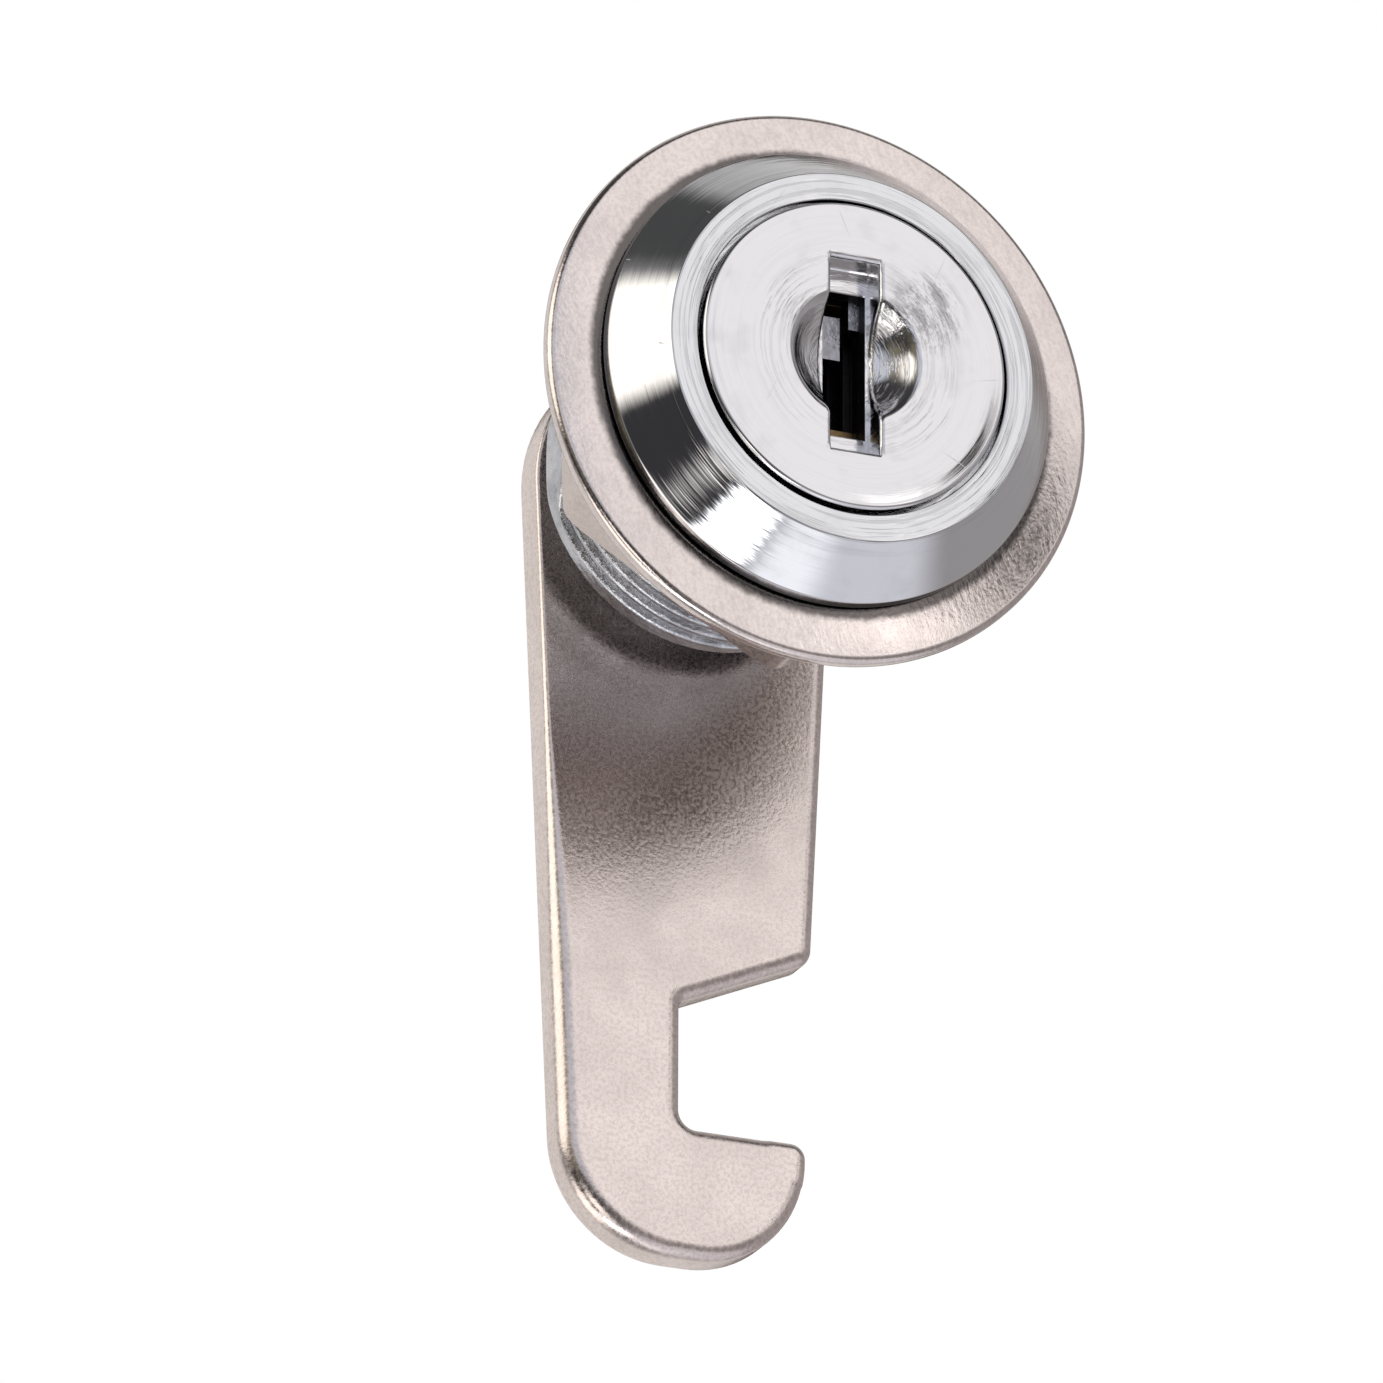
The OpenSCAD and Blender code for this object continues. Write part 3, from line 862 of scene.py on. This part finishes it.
def chrome(name, colour, roughness, marks=1.0, seed=0.0, scuff=None, rings=()):
    """Bright plating over a turned surface: turning marks, haze and a few straight scratches.

    A scuff is a rubbed patch: its centre and reach. Each of rings is a band of plainer turning
    marks: its two radii and how dark its marks are.
    """
    material, nodes, shader, place = metal(name, colour, roughness)
    fine = nodes.noise(ring_place(nodes, place, FINE_MARKS, FINE_MARKS, 1.4), 1.0, 2.0, 0.6)
    coarse = nodes.noise(
        ring_place(nodes, place, COARSE_MARKS, COARSE_MARKS, 0.8 + seed), 1.0, 2.0)
    haze = nodes.noise(place, 0.45, 3.0, 0.6)
    worn = nodes.span(haze, 0.50, 0.72, 0.0, 1.0, "SMOOTHSTEP")
    lines = 0.0
    for turn in SCRATCH_TURNS:
        flat = stretched(nodes, place, turn + seed, 0.12, 5.2)
        line = nodes.span(nodes.noise(flat, 1.0, 0.0), *SCRATCH_SPAN, 0.0, 1.0)
        lines = nodes.math("MAXIMUM", line, lines)
    rough = nodes.math("ADD", nodes.span(fine, 0.3, 0.7, roughness * 0.6, roughness * 1.5),
                       nodes.math("MULTIPLY", worn, roughness * 0.8))
    rough = nodes.math("ADD", rough, nodes.math("MULTIPLY", lines, 0.12))
    tint = nodes.blend(nodes.math("MULTIPLY", worn, 0.5), rgba(colour), rgba(colour, WORN_SHADE))
    normal = nodes.bump(coarse, 0.016 * marks)
    normal = nodes.bump(fine, 0.0065 * marks, normal)
    normal = nodes.bump(lines, -0.010, normal)
    if rings:
        groove = nodes.noise(
            ring_place(nodes, place, BAND_MARKS, 0.0, 0.7 + seed / 2), 1.0, 3.0, 0.7)
        groove = nodes.span(groove, 0.40, 0.52, 1.0, 0.0, "SMOOTHSTEP")
        _, radius, _ = round_axis(nodes, place)
        cut = 0.0
        for inner, outer, depth in rings:
            band = nodes.math("MULTIPLY",
                              nodes.span(radius, inner - 0.2, inner, 0.0, 1.0, "SMOOTHSTEP"),
                              nodes.span(radius, outer, outer + 0.8, depth, 0.0, "SMOOTHSTEP"))
            cut = nodes.math("MAXIMUM", band, cut)
        cut = nodes.math("MULTIPLY", cut, groove)
        tint = nodes.blend(cut, tint, rgba(colour, BAND_SHADE))
        normal = nodes.bump(cut, -0.02, normal)
    if scuff:
        centre, reach = scuff
        near = nodes.vector("LENGTH", nodes.vector("SUBTRACT", place, centre))
        near = nodes.span(near, reach * 0.35, reach, 1.0, 0.0, "SMOOTHSTEP")
        swirl = nodes.noise(ring_place(nodes, place, COARSE_MARKS, 0.0, 2.2), 1.0, 4.0, 0.7)
        patch = nodes.math("MULTIPLY", swirl, near)
        rubbed = nodes.math("MULTIPLY", near, nodes.span(swirl, 0.47, 0.58, 0.0, 0.62))
        tint = nodes.blend(rubbed, tint, rgba(colour, SCUFF_SHADE))
        normal = nodes.bump(patch, 0.14, normal)
    wire(nodes, shader, tint, rough, normal)
    return material


def cast_chrome(name, colour, roughness):
    """Plating over a die-cast surface that was not polished: a sparkling grain."""
    material, nodes, shader, place = metal(name, colour, roughness)
    grain = nodes.noise(place, 3.2, 3.0, 0.65)
    blotch = nodes.noise(place, 0.8, 2.0)
    shade = nodes.blend(nodes.span(blotch, 0.4, 0.65, 0.0, 1.0), rgba(colour),
                        rgba(colour, CAST_SHADE))
    rough = nodes.span(grain, 0.3, 0.7, roughness * 0.7, roughness * 1.4)
    wire(nodes, shader, shade, rough, nodes.bump(grain, 0.06))
    return material


def satin_nickel(name, colour, roughness, grain=1.0, hair=0.0, painted_contact_shade=None):
    """Matt nickel plating: a fine grain, cloudy patches and, with hair, short brushed lines.

    Given two radii, it paints a shade round the axis, as where a part sits on this one: darkest
    inside the first radius, faded out by the second.
    """
    material, nodes, shader, place = metal(name, colour, roughness)
    peel = nodes.noise(place, 1.7, 3.0, 0.6)
    speck = nodes.noise(place, 5.2, 1.0, 0.6)
    cloud = nodes.noise(place, 0.35, 3.0, 0.55)
    shade = nodes.blend(nodes.span(cloud, 0.35, 0.65, 0.0, 1.0), rgba(colour),
                        rgba(colour, CLOUD_SHADE))
    shade = nodes.blend(nodes.span(speck, 0.36, 0.60, 0.26 * grain, 0.0), shade,
                        rgba(colour, SPECK_SHADE))
    rough = nodes.math("ADD", nodes.span(speck, 0.3, 0.7, roughness * 0.8, roughness * 1.2),
                       nodes.span(cloud, 0.3, 0.7, -0.03, 0.03))
    normal = nodes.bump(peel, 0.005 * grain)
    normal = nodes.bump(speck, 0.007 * grain, normal)
    if hair:
        brushed = nodes.noise(stretched(nodes, place, BRUSHED, 1.3, 4.4), 1.0, 3.0, 0.6)
        shade = nodes.blend(nodes.span(brushed, 0.36, 0.54, 0.15 * hair, 0.0), shade,
                            rgba(colour, SPECK_SHADE))
        normal = nodes.bump(brushed, 0.008 * hair, normal)
    # painted shade: the ring round the axis is darkened where the seated part would shade it, its
    # edge wobbled by the peel noise
    if painted_contact_shade:
        _, radius, _ = round_axis(nodes, place)
        radius = nodes.math("ADD", radius, nodes.span(peel, 0.3, 0.7, -0.07, 0.07))
        shade = nodes.blend(nodes.span(radius, *painted_contact_shade, 0.9, 0.0, "SMOOTHSTEP"), shade,
                            rgba(colour, PAINTED_CONTACT_SHADE))
    wire(nodes, shader, shade, rough, normal)
    return material


def plain_metal(name, colour, roughness, grain=1.0):
    """Brass or steel stock: drawn grain, small pits and handling haze."""
    material, nodes, shader, place = metal(name, colour, roughness)
    drawn_place = nodes.add("ShaderNodeMapping",
                            {"Vector": place, "Scale": (1.0, 1.0, 9.0)}).outputs[0]
    drawn = nodes.noise(drawn_place, 2.0, 3.0, 0.6)
    pits = nodes.noise(place, 6.0, 2.0)
    shade = nodes.blend(nodes.span(drawn, 0.3, 0.7, 0.0, 1.0), rgba(colour),
                        rgba(colour, DRAWN_SHADE))
    rough = nodes.span(pits, 0.3, 0.7, roughness * 0.8, roughness * 1.3)
    normal = nodes.bump(drawn, 0.006 * grain)
    normal = nodes.bump(pits, 0.004 * grain, normal)
    wire(nodes, shader, shade, rough, normal)
    return material


FINISHES = {
    "housing_chrome": chrome("chrome_head", (0.80, 0.81, 0.83), 0.07,
                             rings=((SEAT_R, HEAD_FACE_R, 0.34),)),
    "barrel": cast_chrome("chrome_barrel", (0.66, 0.68, 0.72), 0.2),
    "plug_chrome": chrome(
        "chrome_plug", (0.84, 0.835, 0.85), 0.11, marks=0.9, seed=0.7,
        scuff=((3.6, FACE_Y, 2.9), 2.6),
        rings=((0.5, 2.6, 0.45), (DIMPLE_R + 0.1, 4.9, 0.19), (4.9, FACE_R, 0.04))),
    "keyway": cast_chrome("chrome_keyway", (0.42, 0.42, 0.46), 0.28),
    "raw_zinc": plain_metal("raw_zinc", (0.10, 0.10, 0.11), 0.45),
    # the collar gets painted shade in a ring just outside the head's rim
    "collar_satin_nickel": satin_nickel(
        "satin_collar", (0.90, 0.815, 0.78), 0.17, grain=0.8, hair=1.0,
        painted_contact_shade=(HEAD_R + 0.3, HEAD_R + 0.7)),
    "nut_satin_nickel": satin_nickel("satin_nut", (0.80, 0.71, 0.67), 0.30),
    "cam_satin_nickel": satin_nickel("satin_cam", (0.965, 0.858, 0.812), 0.27, grain=1.3),
    # the tumblers' brass is far darker than bright brass: painted shade for the dark inside of the
    # keyway
    "wafer_brass": plain_metal("brass", (0.30, 0.21, 0.10), 0.38),
    "spring_steel": plain_metal("spring_wire", (0.55, 0.56, 0.58), 0.28, grain=0.5),
    "washer_steel": plain_metal("zinc_steel", (0.62, 0.63, 0.64), 0.32),
    "screw_steel": plain_metal("screw_zinc", (0.64, 0.65, 0.66), 0.27, grain=0.6),
}


def dress(piece, slot, *nodes, outside=None, inside=None, inside_from=None):
    """Gives a piece its finish, which is its slot's unless outside names another.

    Faces behind inside_from on Y get the finish named inside.
    """
    piece.data.materials.clear()
    piece.data.materials.append(FINISHES[outside or slot])
    if inside:
        piece.data.materials.append(FINISHES[inside])
        for face in piece.data.polygons:
            face.material_index = int(face.center.y > inside_from * MM)
    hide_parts(*nodes)


# ---- the pieces ----

dress(housing_piece(), "housing_chrome", "housing", inside="barrel", inside_from=COLLAR_FRONT)
dress(collar_piece(), "collar_satin_nickel", "trim_collar")
dress(nut_piece(), "nut_satin_nickel", "mounting_nut")
dress(plug_face_piece(), "plug_chrome", "plug", inside="raw_zinc",
      inside_from=FACE_Y + SLOT_DEPTH + 0.08)
dress(softened("plug_body", "plug", "plug", 0.05, FACE_BACK), "plug_chrome", "plug",
      outside="keyway", inside="raw_zinc", inside_from=FACE_BACK + 0.06)
dress(softened("quarter_turn_stop", "stop_washer", "plug", 0.12), "washer_steel", "stop_washer")
dress(cam_piece(), "cam_satin_nickel", "cam")
dress(washer_piece(), "washer_steel", "cam_washer")
dress(split_washer_piece(), "washer_steel", "lock_washer")
dress(screw_piece(), "screw_steel", "cam_screw")
wafers = sorted(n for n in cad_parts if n.startswith("wafer_") and "spring" not in n)
for node in wafers:
    number = node.split("_")[1]
    dress(softened("tumbler_" + number, node, node, 0.05), "wafer_brass", node)
    spring = coil_piece("tumbler_spring_" + number, "wafer_spring_" + number, "plug", 6)
    dress(spring, "spring_steel", "wafer_spring_" + number)
dress(softened("retainer", "retaining_wafer", "retaining_wafer", 0.05), "wafer_brass",
      "retaining_wafer")
retainer_spring = coil_piece("retainer_spring", "retaining_spring", "plug", 8)
dress(retainer_spring, "spring_steel", "retaining_spring")
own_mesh(retainer_spring)


# ---- studio ----

# soft panels: azimuth from the front towards +X, elevation, half width, half height,
# how soft the rim is, and colour; a later panel covers an earlier one
PANELS = [
    # behind the lock: a wide light one, then a dark one high on the left and one on the right
    (180, 5, 62, 70, 0.3, (0.74, 0.72, 0.71)),
    (-112, 64, 20, 15, 0.3, (0.07, 0.07, 0.07)),
    (153, 20, 24, 21, 0.3, (0.075, 0.048, 0.030)),
    # the right, and below
    (80, -6, 52, 40, 0.3, (0.34, 0.32, 0.325)),
    (62, -62, 46, 26, 0.25, (0.70, 0.69, 0.74)),
    (10, -82, 13, 13, 0.5, (1.1, 1.1, 1.14)),
    (30, -24, 34, 16, 0.35, (0.28, 0.26, 0.26)),
    # the front right, with a bright and a dark spot for the right part of the collar
    (20, 27, 31, 34, 0.3, (0.95, 0.93, 0.935)),
    (27.5, 8, 4.3, 3.8, 0.5, (1.6, 1.52, 1.5)),
    (36, 14.8, 5.4, 5.2, 0.4, (0.015, 0.010, 0.007)),
    # the front left
    (-49, 12, 16, 26, 0.4, (0.19, 0.17, 0.12)),
    (-20, 18, 22, 24, 0.25, (0.60, 0.62, 0.69)),
    # strong lights from the left and from below it
    (-84, 22, 27, 23, 0.2, (1.5, 1.42, 1.30)),
    (-106, -40, 20, 18, 0.3, (1.6, 1.5, 1.42)),
    (-56, -62, 20, 10, 0.22, (2.4, 2.4, 2.45)),
    (-47, -36, 14, 10, 0.4, (1.7, 1.62, 1.56)),
]
BASE_LIGHT = (0.040, 0.038, 0.041)

# the white floor: half its side and how low it lies, in metres
FLOOR_HALF = 4.0
FLOOR_Z = -0.42
PAPER = (0.85, 0.85, 0.85)

# the camera: azimuth and elevation it looks from, its distance and its shifts sideways and up
# in millimetres, its roll in degrees, and its lens and sensor in millimetres
CAMERA_FROM = (-22.975, -21.542)
CAMERA_DISTANCE = 700
CAMERA_SHIFT = (-5.683, -14.166)
CAMERA_ROLL = 0.193
CAMERA_LENS = 381.6
CAMERA_SENSOR = 36


def direction(azimuth, elevation):
    """The way to a place round the lock, from angles in degrees."""
    a, e = math.radians(azimuth), math.radians(elevation)
    return Vector((math.sin(a) * math.cos(e), -math.cos(a) * math.cos(e), math.sin(e)))


def studio_world():
    """Soft panels all round the lock, which the camera itself sees as white paper."""
    world = bpy.data.worlds.new("studio")
    bpy.context.scene.world = world
    world.use_nodes = True
    nodes = Nodes(world.node_tree)
    world.node_tree.nodes.clear()
    way = nodes.add("ShaderNodeTexCoord").outputs["Generated"]
    light = rgba(BASE_LIGHT)
    for azimuth, elevation, half_w, half_h, soft, colour in PANELS:
        middle = direction(azimuth, elevation)
        side = middle.cross(Vector((0, 0, 1))).normalized()
        up = side.cross(middle)
        x = nodes.vector("DOT_PRODUCT", way, tuple(side / math.sin(math.radians(half_w))))
        z = nodes.vector("DOT_PRODUCT", way, tuple(up / math.sin(math.radians(half_h))))
        ahead = nodes.vector("DOT_PRODUCT", way, tuple(middle))
        reach = nodes.vector("LENGTH", nodes.add("ShaderNodeCombineXYZ", {0: x, 2: z}).outputs[0])
        share = nodes.span(reach, 1 - soft, 1 + soft, 1.0, 0.0, "SMOOTHSTEP")
        share = nodes.math("MULTIPLY", share, nodes.math("GREATER_THAN", ahead, 0.0))
        light = nodes.blend(share, light, rgba(colour))
    seen = nodes.add("ShaderNodeLightPath").outputs["Is Camera Ray"]
    glow = nodes.add("ShaderNodeBackground", {"Color": light})
    paper = nodes.add("ShaderNodeBackground", {"Color": (1, 1, 1, 1)})
    both = nodes.add("ShaderNodeMixShader", {0: seen, 1: glow.outputs[0], 2: paper.outputs[0]})
    nodes.add("ShaderNodeOutputWorld", {"Surface": both.outputs[0]})


def floor_piece():
    """A white floor under the lock that its bright surfaces do not mirror."""
    mesh = bpy.data.meshes.new("floor")
    half = FLOOR_HALF
    corners = [(-half, -half), (half, -half), (half, half), (-half, half)]
    mesh.from_pydata([(x, y, FLOOR_Z) for x, y in corners], [], [(0, 1, 2, 3)])
    floor = bpy.data.objects.new("floor", mesh)
    bpy.context.scene.collection.objects.link(floor)
    material = bpy.data.materials.new("paper")
    material.use_nodes = True
    shader = material.node_tree.nodes["Principled BSDF"]
    shader.inputs["Base Color"].default_value = rgba(PAPER)
    shader.inputs["Roughness"].default_value = 0.9
    mesh.materials.append(material)
    floor.visible_glossy = False


def camera_piece():
    """The camera: to the left of the face and below it, far away with a long lens."""
    back = direction(*CAMERA_FROM)
    side = (-back).cross(Vector((0, 0, 1))).normalized()
    up = side.cross(-back)
    roll = math.radians(CAMERA_ROLL)
    side, up = (math.cos(roll) * side + math.sin(roll) * up,
                -math.sin(roll) * side + math.cos(roll) * up)
    right, rise = CAMERA_SHIFT
    place = (right * side + rise * up + CAMERA_DISTANCE * back) * MM
    data = bpy.data.cameras.new("camera")
    data.sensor_width = CAMERA_SENSOR
    data.lens = CAMERA_LENS
    data.clip_start, data.clip_end = 0.01, 50
    camera = bpy.data.objects.new("camera", data)
    bpy.context.scene.collection.objects.link(camera)
    turn = Matrix((side, up, back)).transposed().to_4x4()
    camera.matrix_world = Matrix.Translation(place) @ turn
    bpy.context.scene.camera = camera


studio_world()
floor_piece()
camera_piece()
bpy.context.scene.view_settings.view_transform = "Standard"
bpy.context.scene.view_settings.look = "None"

bpy.context.view_layer.update()
